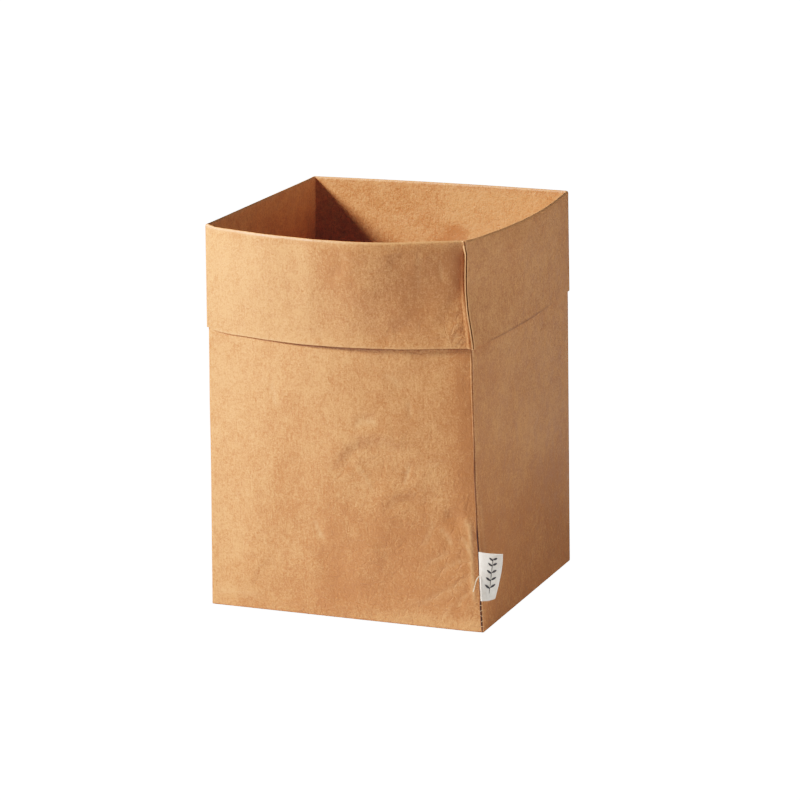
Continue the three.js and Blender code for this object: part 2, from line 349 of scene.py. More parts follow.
def fin_amounts():
    """Which way the seam allowance stands, and how much of it: -1 is full width inside, 1 outside."""
    inside = smooth(HEIGHT - Z, 0, FIN_RISE) * smooth(Z, 2, 7)
    outside = smooth(HEIGHT + LIFT - Z, 0.5, FIN_RISE) * mix(FIN_HIGH, FIN_LOW, DOWN)
    return np.where(ON_CUFF, outside, np.where(ON_WALL, -inside, 0))


def wall_corner(c, z, off, down, lip, root, fin, foot_open):
    """The sewn corner with its allowance standing inside, behind a groove."""
    side, facing = c["side"], math.radians(GROOVE_TURN)
    cx, cy = corner("frontRight", z, down)
    rho = seam_round(z) + off
    stitched = rho + lip
    spread_angle = np.arcsin(np.clip(root / np.maximum(stitched, 0.4), -0.9, 0.9))
    if c["kind"] == "turn":
        _, _, ex, ey = beside_seam(side, z, down)
        start = np.arctan2(ex, -ey)
        angle = mix(start, facing + side * spread_angle, c["share"])
        radius = rho + lip * c["share"] ** 2 - (SEAM_DIP * (1 - c["share"]) if side < 0 else 0)
        return cx + np.sin(angle) * radius, cy - np.cos(angle) * radius
    far = stitched * np.cos(spread_angle) + fin * c["width"]
    apart = mix(root, np.maximum(root, LAYER_TIP * foot_open), c["width"] / ALLOWANCE)
    sway = WALL_SWAY * np.array([noise.noise(Vector((3.1, 7.7, h / 11))) for h in z]) * fin
    aside = side * apart + sway * c["width"] / ALLOWANCE
    away, over = math.sin(facing), math.cos(facing)
    return cx + away * far + over * aside, cy - over * far + away * aside


def cuff_corner(c, z, off, down, fin):
    """The sewn corner on the cuff, whose allowance stands outside: the right panel's paper runs straight
    on into it, and the front's paper dips into a valley beside it."""
    side = c["side"]
    cx, cy = corner("frontRight", z, down)
    rho = SEAM_CORNER + off
    sway = np.array([
        noise.noise(Vector((5.3, 1.9, h / 9))) + 0.35 * noise.noise(Vector((2.3, 8.1, h / 2.8))) for h in z
    ])
    lean = mix(FIN_TURN, FIN_TURN_FOOT, smooth(down, 0.72, 1))
    lean = np.radians(lean + FIN_SWAY * sway * smooth(down, 0.05, 0.3))
    out, beside = np.stack([np.sin(lean), -np.cos(lean)]), np.stack([np.cos(lean), np.sin(lean)])
    _, _, rx, ry = beside_seam(1, z, down)
    middle = rho * (rx * beside[0] + ry * beside[1]) - LAYER_ROOT - 0.1
    least = rho * (rx * out[0] + ry * out[1]) + 0.3
    root = np.maximum(mix(FIN_ROOT, FIN_ROOT_LOW, smooth(down, 0.2, 0.6)), least)
    if c["kind"] == "flap":
        along = root + fin * c["width"] * (FIN_BACK if side > 0 else 1)
        aside = middle + side * mix(LAYER_ROOT, LAYER_TIP, c["width"] / ALLOWANCE)
    else:
        _, _, ex, ey = beside_seam(side, z, down)
        near = rho - SEAM_DIP if side < 0 else rho
        a0, b0 = near * (ex * out[0] + ey * out[1]), near * (ex * beside[0] + ey * beside[1])
        a1, b1, t = root, middle + side * LAYER_ROOT, c["share"]
        reach = 0.6 if side < 0 else 0.1
        ta0, tb0 = (-ey * out[0] + ex * out[1], -ey * beside[0] + ex * beside[1])
        away = np.hypot(a1 - a0, b1 - b0)
        ca, cb = a0 - side * ta0 * away * reach, b0 - side * tb0 * away * reach
        da, db = a1 - 0.1 * away, b1 + side * 0.25 * away
        weights = ((1 - t) ** 3, 3 * (1 - t) ** 2 * t, 3 * (1 - t) * t**2, t**3)
        along = sum(w * v for w, v in zip(weights, (a0, ca, da, a1)))
        aside = sum(w * v for w, v in zip(weights, (b0, cb, db, b1)))
    return cx + out[0] * along + beside[0] * aside, cy + out[1] * along + beside[1] * aside


def sheet_plan():
    """Where the sheet's points lie in plan, and which way is out at each."""
    x, y, out_x, out_y = (np.zeros(COUNT) for _ in range(4))
    fin = fin_amounts()
    foot_open = smooth(Z, 1.5, 5)
    low_lip = mix(LIP_LOW, LIP_HIGH, smooth(Z, 55, 110))
    lip = np.where(ON_BASE, -0.2, np.where(ON_WALL, -low_lip, -0.3))
    root = np.where(ON_CUFF | ON_FOLD | ON_WALL, LAYER_ROOT * mix(0.02, 1, foot_open), 0.005)
    down = DOWN[:, 0]
    turned_over = smooth(down, 0, 0.12)
    for i, c in enumerate(COLUMNS):
        z, off = Z[:, i], OFF[:, i]
        if c["kind"] == "panel":
            px, py, ox, oy = along_panel(PANELS[c["panel"]], c["s"], z, down)
            radius = mix(CREASE, seam_round(z), NEAR[0, i]) + off - DIP[0, i]
            x[:, i], y[:, i] = px + ox * radius, py + oy * radius
        elif c["kind"] == "crease":
            before = along_panel(PANELS[c["panel"]], 1, z, 0 * z)
            after = along_panel(PANELS[c["panel"] + 1], 0, z, 0 * z)
            start = np.arctan2(before[2], -before[3])
            turned = (np.arctan2(after[2], -after[3]) - start) % (2 * np.pi)
            angle = start + turned * c["share"]
            ox, oy = np.sin(angle), -np.cos(angle)
            cx, cy = corner(PANELS[c["panel"]][2], z, 0)
            x[:, i], y[:, i] = cx + ox * (CREASE + off), cy + oy * (CREASE + off)
        else:
            ox, oy = math.sin(math.radians(GROOVE_TURN)), -math.cos(math.radians(GROOVE_TURN))
            inside, outside = np.minimum(fin[:, i], 0), np.maximum(fin[:, i], 0)
            wall = wall_corner(c, z, off, down, lip[:, i], root[:, i], inside, foot_open[:, i])
            cuff = cuff_corner(c, z, off, down, outside)
            x[:, i], y[:, i] = mix(wall[0], cuff[0], turned_over), mix(wall[1], cuff[1], turned_over)
        out_x[:, i], out_y[:, i] = ox, oy
    inward = per_row(lambda r: r["share"] if r["kind"] == "base" else 1)
    return x * inward, y * inward, out_x, out_y


# ---- Folds, dents, scuffs, and painted light and shade ----

# For each panel: path as (across, height) points, half width, how far it stands out, and how far the
# paper on the left of the path stands out beside it. Across runs from the panel's left end, seen from
# outside, and both are in millimetres.
WALL_FOLDS = {
    "front": [
        ([(113.5, 8.6), (122.8, 15.4), (133.2, 21.5), (142.1, 26.9), (147, 31.5)], 1.5, -0.2, 0.12),
        ([(77.4, 79), (82, 87), (86.7, 92.3), (92.5, 95.4), (98.9, 96.2), (107.3, 95.1),
          (113, 91)], 3.2, -0.42, 0.42),
        ([(116.4, 87), (115.5, 82), (113.1, 76)], 1.6, -0.3),
        ([(87.6, 86), (92.3, 79.4), (96.2, 72.6)], 1.5, 0.28),
        ([(39.8, 126), (42.7, 112.7)], 1.6, -0.25),
        ([(117.6, 121), (118, 111)], 1.5, -0.25),
        ([(62.3, 54), (64.5, 48), (67.4, 43)], 2, -0.35, 0.2),
        ([(69, 40), (76, 33.5), (84.2, 25.2), (88, 20)], 2.6, 0.21),
        ([(64, 37), (70, 27), (76, 18)], 5, -0.27),
        ([(18, 12), (24, 20.5), (31, 29.5), (36, 37)], 3, 0.21),
        ([(24, 12), (31, 21.5), (37, 31)], 3.6, -0.21),
        ([(121, 33.6), (129.9, 38.5), (136, 43)], 1.7, -0.18, 0.12),
        ([(118, 83.9), (128, 87.5), (138, 90)], 1.8, -0.1),
        ([(134, 62), (138.3, 59), (142.5, 55)], 3, -0.36),
        ([(130.5, 54), (134.8, 50), (137, 44)], 1.8, -0.24, 0.12),
        ([(141.5, 50), (144.5, 47), (146.5, 40)], 1.6, 0.3),
        ([(144, 60), (146.4, 55.3), (147, 49)], 1.5, 0.27),
        ([(127, 27), (133, 33), (140, 37), (146, 38)], 1.7, -0.18),
        ([(138, 12), (141, 18), (146, 22)], 1.5, -0.18),
        ([(129, 5), (134, 12), (136, 16)], 1.6, 0.15),
        ([(120, 42), (125, 50), (128, 60)], 2.4, -0.13),
        ([(0, 8.4), (9, 8.2), (20, 8.4), (30, 7)], 2.2, 0.18),
        ([(86, 104), (91, 108), (97, 109), (101, 106)], 2.4, -0.28, 0.15),
        ([(100, 60), (108, 66), (117, 68), (121, 64)], 2.6, -0.32, 0.2),
        ([(83, 50), (90, 46), (95, 40), (97, 33)], 2.6, 0.3),
        ([(46, 80), (52, 84), (60, 84)], 2.6, -0.25),
        ([(104, 134), (110, 131), (114, 126)], 2.2, -0.22),
        ([(147, 62), (146.8, 45), (147, 24), (147.6, 12)], 1.5, 0.4),
        ([(29, 98), (28, 60), (25, 33), (21, 3)], 13, 0.65),
        ([(57, 96), (56, 64), (56, 38)], 9, -0.4),
        ([(105, 88), (103, 62), (94, 40), (85, 14)], 8, 0.5),
        ([(61, 36), (61, 2)], 6, 0.35),
        ([(75, 44), (78, 25), (80, 6)], 5, -0.3),
        ([(107, 11), (118, 14), (130, 17), (143, 25)], 2.2, 0.1),
        ([(74, 6), (73.4, 0.4)], 0.8, -0.1),
        ([(87.4, 3), (87.2, 0.4)], 0.8, -0.07),
    ],
    "right": [
        ([(80, 66), (90, 54), (112, 32), (136, 12)], 5, 0.27),
        ([(70, 46), (82, 36), (100, 20)], 6, -0.21),
        ([(3, 72), (5, 50), (4, 30)], 2, 0.15),
    ],
    "back": [
        ([(30, 18), (52, 40), (60, 66)], 4, -0.24),
        ([(96, 30), (112, 52), (120, 82)], 5, 0.24),
        ([(60, 186), (70, 176), (76, 160)], 6, 0.3),
    ],
    "left": [
        ([(22, 26), (40, 44), (52, 70)], 5, 0.24),
        ([(104, 20), (118, 44), (124, 70)], 4, -0.24),
    ],
}
FOLD_GAIN = 1.25  # the narrow folds' heights are multiplied by this
WALL_DENTS = [  # panel, across, height, half width, half height, depth
    ("front", 98, 82, 17, 12, 0.9),
    ("front", 114.7, 125.5, 7, 6, 0.25),
    ("front", 138.3, 59, 5, 5, 0.5),
    ("front", 73, 32, 9, 8, 0.3),
    ("front", 125, 70, 10, 9, 0.3),
    ("front", 60, 100, 14, 18, 0.25),
    ("right", 60, 60, 22, 26, 0.3),
    ("back", 70, 90, 26, 30, 0.5),
    ("left", 80, 90, 26, 34, 0.5),
]
CUFF_FOLDS = {
    "front": [
        ([(128, 201), (128.6, 190), (128.4, 175)], 1.6, -0.12),
        ([(138.2, 195), (140, 189), (139.8, 183)], 1.5, -0.12),
        ([(72, 155.5), (71.7, 149)], 1.1, -0.13),
        ([(112, 194), (119, 196.5), (129, 200)], 3, -0.15),
        ([(142, 151), (144.5, 155), (147.5, 156.5)], 0.9, -0.2),
        ([(144, 149.5), (146.5, 152), (149, 153)], 0.8, -0.2),
        ([(142, 156), (145, 160), (148.5, 161.5)], 1, 0.18),
        ([(144, 162), (146.5, 165), (149, 166)], 0.9, -0.15),
        ([(148, 179), (143, 168), (138, 157)], 4, -0.3),
        ([(112, 155), (118, 160), (124, 161)], 3, -0.2, 0.12),
        ([(84, 200), (88, 194), (86, 187), (80, 183)], 2.6, -0.25, 0.12),
    ],
    "right": [
        ([(60, 200), (66, 180), (64, 156)], 9, 0.18),
    ],
    "back": [
        ([(48, 200), (54, 178), (50, 154)], 7, 0.21),
    ],
    "left": [
        ([(90, 200), (84, 178), (88, 154)], 7, 0.21),
    ],
}
CUFF_DENTS = [
    ("front", 94, 191, 10, 8, 0.5),
    ("front", 119, 193, 6, 8, 0.3),
    ("front", 103, 159, 14, 9, 0.45),
    ("front", 130, 172, 9, 7, 0.3),
    ("front", 46, 162, 9, 5, 0.2),
]

CRUMPLES = [  # where the paper is finely crinkled: panel, across, height, half width, half height, how much
    ("front", 139, 34, 13, 30, 1.0),
    ("front", 145, 156, 7, 8, 1.0),
    ("front", 120, 12, 30, 10, 0.7),
    ("front", 60, 8, 60, 9, 0.5),
    ("front", 98, 86, 24, 18, 0.5),
    ("front", 25, 25, 20, 20, 0.5),
    ("front", 85, 45, 30, 25, 0.4),
    ("right", 110, 30, 40, 30, 0.4),
    ("right", 8, 50, 10, 40, 0.5),
    ("back", 60, 40, 40, 40, 0.5),
    ("left", 80, 50, 50, 50, 0.5),
]
CRUMPLED, CRUMPLED_FRONT = 0.1, 0.4  # everywhere, and how much more on the front

# Patches painted lighter or darker: from and to across, from and to height, softness, how much. Most are
# painted light and shade, the rest make the paper lighter or darker in places.
PAINTED_LIGHT_AND_TONES = {
    # A painted sheen on the cuff's left part; painted shade beside its bend, towards its right end and by the
    # sewn corner.
    ("front", "cuff"): [
        (-9, 71, 140, 215, 5, 0.26),
        (76, 98, 178, 215, 6, -0.3),
        (105, 165, 140, 215, 12, -0.12),
        (118, 165, 162, 215, 9, -0.15),
        (146, 160, 180, 215, 4, -0.5),
    ],
    # Painted shade beside the sewn corner and over the lower right part; the other patches make the wall
    # lighter or darker in places.
    ("front", "wall"): [
        (-9, 22, 4, 160, 8, 0.15),
        (139, 172, 60, 160, 7, -0.6),
        (62, 150, 6, 64, 12, -0.5),
        (-9, 12, -9, 12, 5, 0.2),
        (36, 54, 44, 84, 7, -0.2),
        (70, 82, 5, 32, 6, -0.25),
        (98, 124, 62, 88, 7, -0.2),
        (92, 165, -9, 7, 3, 0.45),
        (112, 126, 24, 48, 6, 0.15),
    ],
    # Painted shade: darker towards the bottom, and beside the sewn corner.
    ("right", "wall"): [(-9, 160, -60, 66, 26, -0.4), (-9, 25, 40, 160, 12, -0.15)],
    # A dark spot, and painted light on the strip near the rim on the half next to the back right corner.
    ("back", "wall"): [
        (60, 70, 158, 182, 4, -1.5),
        (66, 76, 168, 178, 5, -0.7),
        (-9, 72, 165, 215, 8, 0.5),
    ],
}

# Painted shade for the gaps that are narrower than the mesh: how dark the paper is painted in the seam's groove
# at some heights, as a painted shadow right under the cuff's lower edge, and at the foot and between the layers
# of its allowance.
SEAM_PAINTED_SHADE = ((0, 16, 20, 40, 52, 60, 92, 108, 130, 152), (1, 1, 0.6, 1, 1, 0.6, 0.6, 0.3, 0.3, 0.3))
EDGE_PAINTED_SHADE, FIN_PAINTED_SHADE, LAYERS_PAINTED_SHADE = 0.5, 0.55, 0.9


def beside_path(path):
    """Distance from a path, on which side (left positive), and how far along it, from 0 to 1."""
    best = np.full(COUNT, 1e9)
    left, along = np.zeros(COUNT), np.zeros(COUNT)
    points = np.array(path, float)
    lengths = np.hypot(*(points[1:] - points[:-1]).T)
    before = 0
    for (ax, ay), (bx, by), length in zip(points[:-1], points[1:], lengths):
        ux, uy = (bx - ax) / length, (by - ay) / length
        t = np.clip((ACROSS - ax) * ux + (Z - ay) * uy, 0, length)
        dx, dy = ACROSS - ax - ux * t, Z - ay - uy * t
        distance = np.hypot(dx, dy)
        nearer = distance < best
        best = np.where(nearer, distance, best)
        left = np.where(nearer, np.sign(ux * dy - uy * dx), left)
        along = np.where(nearer, (before + t) / lengths.sum(), along)
        before += length
    return best, left, along


def fold_relief(path, width, out, shoulder=0):
    """How far a fold stands out, and how much paler the paper is on it where it is scuffed."""
    distance, left, along = beside_path(path)
    fade = smooth(along, -0.02, 0.22) * smooth(1 - along, -0.02, 0.22)
    out, shoulder = (FOLD_GAIN * v if width < 4 else v for v in (out, shoulder))
    line = out * np.exp(-((distance / width) ** 2))
    beside = shoulder * np.exp(-(((distance * left - 2.2 * width) / (1.8 * width)) ** 2))
    paleness = np.exp(-((distance / (0.6 * width)) ** 2)) * fade * min(abs(out) * 2.2, 1)
    return (line + beside) * fade, paleness if width < 2.5 else 0 * paleness


def spot(x, z, half_width, half_height):
    return np.exp(-(((ACROSS - x) / half_width) ** 2 + ((Z - z) / half_height) ** 2))


def band(values, low, high, soft):
    return smooth(values, low - soft, low + soft) * (1 - smooth(values, high - soft, high + soft))


def undulation(x, y, z, seed):
    """The soft waves of handled paper, the same on every run."""
    waves = ((1 / 46, 0.42), (1 / 21, 0.21), (1 / 10.5, 0.105), (1 / 5.2, 0.04))
    total = np.zeros(x.shape)
    for step, (size, height) in enumerate(waves):
        shift = Vector((seed * 13.7 + step * 5.1, seed * 3.3, step * 9.2))
        flat = [
            noise.noise(Vector((a * size, b * size, c * size)) + shift)
            for a, b, c in zip(x.ravel(), y.ravel(), z.ravel())
        ]
        total += height * np.array(flat).reshape(x.shape)
    return total


def pressed_relief(x, y):
    """How far the paper stands out where it is folded, dented and waved, and how much paler its folds are where
    they are scuffed.
    """
    paleness, relief = np.zeros(COUNT), np.zeros(COUNT)
    for rows, folds, dents in ((~ON_CUFF, WALL_FOLDS, WALL_DENTS), (ON_CUFF, CUFF_FOLDS, CUFF_DENTS)):
        for name, shapes in folds.items():
            for shape in shapes:
                rise, pale_marks = fold_relief(*shape)
                relief += rise * rows * is_panel(name)
                paleness = np.maximum(paleness, pale_marks * rows * is_panel(name))
        for name, *place, depth in dents:
            relief -= depth * spot(*place) * rows * is_panel(name)
    on_cuff = 0.7 * undulation(x, y, Z, 2) * smooth(1 - DOWN, 0.02, 0.3)
    waves = undulation(x, y, Z, 1) + np.where(ON_CUFF, on_cuff, 0)
    from_end = np.minimum(ACROSS, BASE - ACROSS)
    relief = relief * smooth(from_end, 0, 2.5) + waves * smooth(from_end, 0, 7) * (MIDDLE > 0)
    free = np.where(ON_WALL, smooth(Z, 2, 12) * smooth(HEIGHT - Z, 2, 14), 0)
    free = np.where(ON_CUFF, smooth(HEIGHT - Z, 2, 9), free)
    curl = FRONT * EDGE_CURL * smooth(SHARE, 0.2, 0.5) * mix(1, 0.4, smooth(SHARE, 0.8, 0.95))
    curl = curl * smooth(1 - SHARE, 0, 0.05)
    return relief * free + curl * np.clip(1 - (1 - DOWN) * CUFF / EDGE_STRIP, 0, 1), paleness


def pale_marks(paleness):
    """How much paler the paper is painted: scuffed on its folds and creases, and a painted highlight along the
    front cuff's lower edge and along the rim's fold.
    """
    creases = per_column(lambda c: c["kind"] == "crease") * 0.5
    # A painted highlight along the front cuff's lower edge.
    edge = EDGE_LINE * ON_CUFF * 0.6 * FRONT
    # A painted highlight along the rim's fold.
    rim = np.where(ON_FOLD, np.sin(ANGLE) ** 2, 0) * 0.9
    return np.clip(np.maximum.reduce([paleness, creases + 0 * Z, edge + 0 * Z, rim + 0 * Z]), 0, 1)


def crinkles():
    crumpled = CRUMPLED + CRUMPLED_FRONT * FRONT * ON_WALL * smooth(ACROSS, 30, 90) * smooth(-Z, -120, -60)
    for name, *place, amount in CRUMPLES:
        crumpled = np.maximum(crumpled, amount * spot(*place) * is_panel(name) * (ON_CUFF | ON_WALL))
    return crumpled


# Adds up the patches painted lighter or darker, most of them painted light and shade.
def painted_light_and_tones():
    painted_light_and_tone = np.zeros(COUNT)
    for (name, part), patches in PAINTED_LIGHT_AND_TONES.items():
        here = is_panel(name) * (ON_CUFF if part == "cuff" else ON_WALL)
        for x0, x1, z0, z1, soft, lighter in patches:
            painted_light_and_tone += lighter * band(ACROSS, x0, x1, soft) * band(Z, z0, z1, soft) * here
    return painted_light_and_tone


def in_groove(c):
    if c["kind"] == "turn":
        return smooth(c["share"], *((0.1, 0.7) if c["side"] < 0 else (0.5, 1)))
    return c["kind"] == "flap"


def painted_gap_shade():
    """How dark the narrow gaps are painted, as painted shade and painted shadow."""
    # Painted shade in the seam's groove.
    dark = np.interp(Z, *SEAM_PAINTED_SHADE) * per_column(in_groove) * (ON_WALL | ON_FOOT | ON_BASE)
    # A painted shadow on the wall right under the cuff's lower edge, and a painted dark strip along that edge
    # on the right panel.
    edge = Z[-1:, :] - 0.9 + 0.35 * np.sin(ACROSS / 17)
    right_part = RIGHT * smooth(ACROSS, 14, 28) * (1 - smooth(ACROSS, 85, 125))
    front_part = FRONT * smooth(ACROSS, 4, 20)
    dark = dark + EDGE_PAINTED_SHADE * (right_part + front_part) * ON_WALL * smooth(Z, edge - 0.5, edge + 0.3)
    dark = dark + EDGE_PAINTED_SHADE * right_part * ON_CUFF * EDGE_LINE
    # Painted shade in the valley beside the cuff's allowance and between its layers.
    foot = per_column(lambda c: c["share"] if c["kind"] == "turn" and c["side"] < 0 else 0)
    layers = per_column(lambda c: max(0, 1 - c["width"] / 5.2) ** 0.5 if c["kind"] == "flap" else 0)
    return dark + (FIN_PAINTED_SHADE * foot * smooth(Z, 150, 190) + LAYERS_PAINTED_SHADE * layers) * ON_CUFF


def shaped_sheet():
    """Every point of the sheet, and what the paper looks like there."""
    x, y, out_x, out_y = sheet_plan()
    relief, paleness = pressed_relief(x, y)
    points = np.stack([x + out_x * relief, y + out_y * relief, Z], -1)
    return points, {"paleness": pale_marks(paleness), "crumpled": crinkles(), "painted_light_and_tone": painted_light_and_tones(), "gap_shade": painted_gap_shade()}


def sheet_places():
    """Where each point of the sheet was before it was folded, in millimetres, for the paper's grain."""
    u, run = [], 0
    for i, c in enumerate(COLUMNS):
        u.append(run)
        if c["kind"] == "panel" and i + 1 < len(COLUMNS) and COLUMNS[i + 1]["kind"] == "panel":
            run += (COLUMNS[i + 1]["s"] - c["s"]) * BASE
        else:
            run += 0.9
    run_up = {
        "base": lambda r: -75 + 75 * r["share"],
        "foot": lambda r: FOOT_ROUND * (1 - math.sin(math.radians(r["angle"]))),
        "wall": lambda r: r["level"],
        "fold": lambda r: HEIGHT + 2 * (1 - math.cos(math.pi * (1 - r["angle"] / 180))) - 2,
        "cuff": lambda r: HEIGHT + 3 + r["share"] * CUFF,
    }
    v = [run_up[r["kind"]](r) for r in ROWS]
    return np.array(u), np.array(v)


# ---- Modelling helpers ----


def only(piece):
    bpy.ops.object.select_all(action="DESELECT")
    piece.select_set(True)
    bpy.context.view_layer.objects.active = piece


def add_piece(operator, name, **how):
    bpy.ops.object.select_all(action="DESELECT")
    operator(**how)
    piece = bpy.context.object
    piece.name = piece.data.name = name
    return piece


def flat_grid(name, across, along):
    """A grid with across x along points, and for each of its points the column and row it is in."""
    grid = add_piece(
        bpy.ops.mesh.primitive_grid_add, name, x_subdivisions=across - 1, y_subdivisions=along - 1, size=2
    )
    flat = np.empty(len(grid.data.vertices) * 3)
    grid.data.vertices.foreach_get("co", flat)
    flat = flat.reshape(-1, 3)
    columns = np.rint((flat[:, 0] + 1) / 2 * (across - 1)).astype(int)
    rows = np.rint((flat[:, 1] + 1) / 2 * (along - 1)).astype(int)
    return grid, columns, rows


def move_points(piece, points):
    piece.data.vertices.foreach_set("co", (np.asarray(points) * MM).ravel())
    piece.data.update()


def shaped_grid(name, across, along, place):
    """A grid as above, with each point where place(column, row) says."""
    grid, columns, rows = flat_grid(name, across, along)
    move_points(grid, [place(column, row) for column, row in zip(columns, rows)])
    return grid, columns, rows


def lay_out(piece, u, v, columns, rows):
    """Fills the piece's UV map with where each point lies on the flat sheet, in millimetres."""
    layer = piece.data.uv_layers.active or piece.data.uv_layers.new(name="UVMap")
    layer.name = "flat_sheet"
    loops = np.empty(len(piece.data.loops), int)
    piece.data.loops.foreach_get("vertex_index", loops)
    layer.data.foreach_set("uv", np.stack([u[columns[loops]], v[rows[loops]]], -1).ravel())


def apply_modifier(piece, kind, **how):
    only(piece)
    modifier = piece.modifiers.new(kind.title(), kind)
    for key, value in how.items():
        setattr(modifier, key, value)
    bpy.ops.object.modifier_apply(modifier=modifier.name)


def in_edit_mode(piece, *steps):
    only(piece)
    bpy.ops.object.mode_set(mode="EDIT")
    bpy.ops.mesh.select_all(action="SELECT")
    for step in steps:
        step()
    bpy.ops.object.mode_set(mode="OBJECT")


def weld(distance):
    return lambda: bpy.ops.mesh.remove_doubles(threshold=distance * MM)


def face_out():
    bpy.ops.mesh.normals_make_consistent(inside=False)


def soft_shading(piece, degrees):
    only(piece)
    bpy.ops.object.shade_smooth_by_angle(angle=math.radians(degrees))


def fix_place(piece):
    only(piece)
    bpy.ops.object.transform_apply(location=True, rotation=True, scale=True)


def join_into(piece, others):
    bpy.ops.object.select_all(action="DESELECT")
    for other in (*others, piece):
        other.select_set(True)
    bpy.context.view_layer.objects.active = piece
    bpy.ops.object.join()


# ---- Materials ----


class Nodes:
    """A tree of shader nodes, built node by node."""

    def __init__(self, tree):
        self.tree = tree

    def add(self, kind, sockets=None, **how):
        node = self.tree.nodes.new("ShaderNode" + kind)
        for key, value in how.items():
            setattr(node, key, value)
        for key, value in (sockets or {}).items():
            self.put(node.inputs[key], value)
        return node

    def put(self, socket, value):
        if isinstance(value, bpy.types.NodeSocket):
            self.tree.links.new(value, socket)
        else:
            socket.default_value = value

    def range(self, value, low, high, to_low=0.0, to_high=1.0):
        limits = {"From Min": low, "From Max": high, "To Min": to_low, "To Max": to_high}
        return self.add("MapRange", {"Value": value, **limits}).outputs["Result"]

    def seen_as(self, lit, seen):
        """Lights the bag as `lit`, while the camera itself sees `seen`."""
        direct = self.add("LightPath").outputs["Is Camera Ray"]
        return self.add("MixShader", {0: direct, 1: lit.outputs[0], 2: seen.outputs[0]}).outputs[0]


class Finish(Nodes):
    """A material made of nodes."""

    def __init__(self, name):
        self.material = bpy.data.materials.new(name)
        self.material.use_nodes = True
        super().__init__(self.material.node_tree)
        self.shader = self.tree.nodes["Principled BSDF"]
        self.coordinates = self.add("TexCoord")

    def surface(self, colour, roughness):
        self.put(self.shader.inputs["Base Color"], colour)
        self.put(self.shader.inputs["Roughness"], roughness)

    def math(self, operation, a, b=0.0, c=0.0):
        return self.add("Math", {0: a, 1: b, 2: c}, operation=operation).outputs[0]

    def noise(self, size, detail=2.0, roughness=0.5, vector=None, distortion=0.0):
        """Noise with features of about `size` millimetres."""
        return self.add("TexNoise", {
            "Vector": vector or self.coordinates.outputs["Object"],
            "Scale": (1 if vector else 1000) / size,
            "Detail": detail, "Roughness": roughness, "Distortion": distortion,
        }).outputs["Fac"]

    def cells(self, vector, size, edge):
        """Flat cells of about `size` millimetres, 1 inside and falling to 0 at the creases between them."""
        node = self.add("TexVoronoi", {"Vector": vector, "Scale": 1000 / size}, feature="DISTANCE_TO_EDGE")
        return self.range(node.outputs["Distance"], 0.0, edge)

    def stretched(self, x, y):
        """The flat sheet's coordinates in millimetres, scaled, for a grain that runs along it."""
        flat = self.coordinates.outputs["UV"]
        return self.add("Mapping", {"Vector": flat, "Scale": (x, y, 1)}).outputs["Vector"]

    def blend(self, amount, a, b):
        return self.add("Mix", {"Factor": amount, "A": a, "B": b}, data_type="RGBA").outputs["Result"]

    def attribute(self, name):
        return self.add("Attribute", attribute_name=name).outputs["Fac"]

    def bump(self, *parts):
        """Raises the surface by the total of (value, millimetres) pairs."""
        node = self.add("Bump", {"Strength": 1.0, "Distance": MM, "Height": self.total(*parts)})
        self.put(self.shader.inputs["Normal"], node.outputs["Normal"])

    def total(self, *parts):
        """Adds up (value, factor) pairs."""
        result = 0.0
        for value, factor in parts:
            result = self.math("MULTIPLY_ADD", value, factor, result)
        return result


KRAFT_DARK, KRAFT_LIGHT = (0.462, 0.17, 0.05, 1), (0.65, 0.295, 0.107, 1)
# The first colour here is the paler colour of scuffed paper and of painted highlights.
# The second colour here is painted shade for the narrow gaps.
KRAFT_WORN_AND_HIGHLIT, KRAFT_PAINTED_SHADE = (0.76, 0.40, 0.17, 1), (0.06, 0.016, 0.004, 1)
RAW_DARK, RAW_LIGHT = (0.66, 0.33, 0.14, 1), (0.86, 0.42, 0.18, 1)
TAPE_DARK, TAPE_LIGHT = (0.76, 0.7, 0.58, 1), (0.92, 0.87, 0.76, 1)
INK_DARK, INK_LIGHT = (0.02, 0.02, 0.022, 1), (0.07, 0.068, 0.07, 1)
SEAM_THREAD, LOOSE_THREAD = (0.74, 0.5, 0.28, 1), (0.9, 0.74, 0.5, 1)


